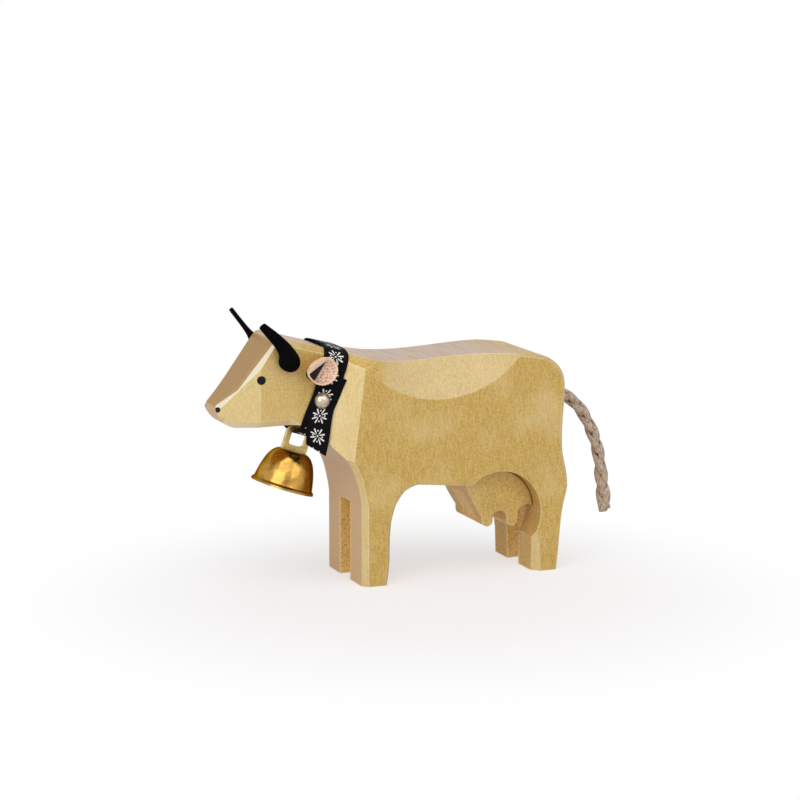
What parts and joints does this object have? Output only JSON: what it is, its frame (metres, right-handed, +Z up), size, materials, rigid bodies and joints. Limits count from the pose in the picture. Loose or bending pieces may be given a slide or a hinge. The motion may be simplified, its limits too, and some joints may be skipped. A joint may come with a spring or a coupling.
{
  "type": "toy cow figurine",
  "caption": "Standing wooden toy cow, sawn and carved in facets, with a separate udder, leather horns and ears, a ribbon collar with a swinging brass bell, and a rope tail.",
  "frame": {"origin": "on the floor under the middle of the nose-to-rump length", "axes": "nose towards -X, the cow's left side towards -Y, +Z up"},
  "size_m": [0.1682, 0.0436, 0.1052],
  "materials": {
    "gold_painted_wood": "brushed metallic gold paint over carved wood",
    "black_leather": "black leather, slightly glossy",
    "natural_leather": "undyed natural leather with open pores",
    "woven_ribbon": "black woven ribbon with small white star flowers",
    "nickel_plate": "polished nickel plate",
    "polished_brass": "polished spun brass",
    "satin_brass": "satin cast brass",
    "jute_rope": "plaited natural-fibre rope"
  },
  "bodies": {
    "cow": {"body_block": "gold_painted_wood", "udder": "gold_painted_wood", "horn_left": "black_leather", "horn_right": "black_leather", "ear_left": "natural_leather", "ear_right": "natural_leather", "collar_ribbon": "woven_ribbon", "collar_nail": "nickel_plate", "tail_rope": "jute_rope"},
    "bell": {"bell_shell": "polished_brass", "bell_bail": "satin_brass"},
    "clapper": {"bell_clapper": "satin_brass"}
  },
  "joints": [
    {"name": "bell_swing", "type": "hinge", "parent": "cow", "child": "bell", "pos_m": [-0.03505, 0, 0.057], "axis": [0, 1, 0], "range_deg": [-30, 50]},
    {"name": "clapper_swing", "type": "hinge", "parent": "bell", "child": "clapper", "pos_m": [-0.03813, 0, 0.04801], "axis": [0, 1, 0], "range_deg": [-30, 66]}
  ]
}
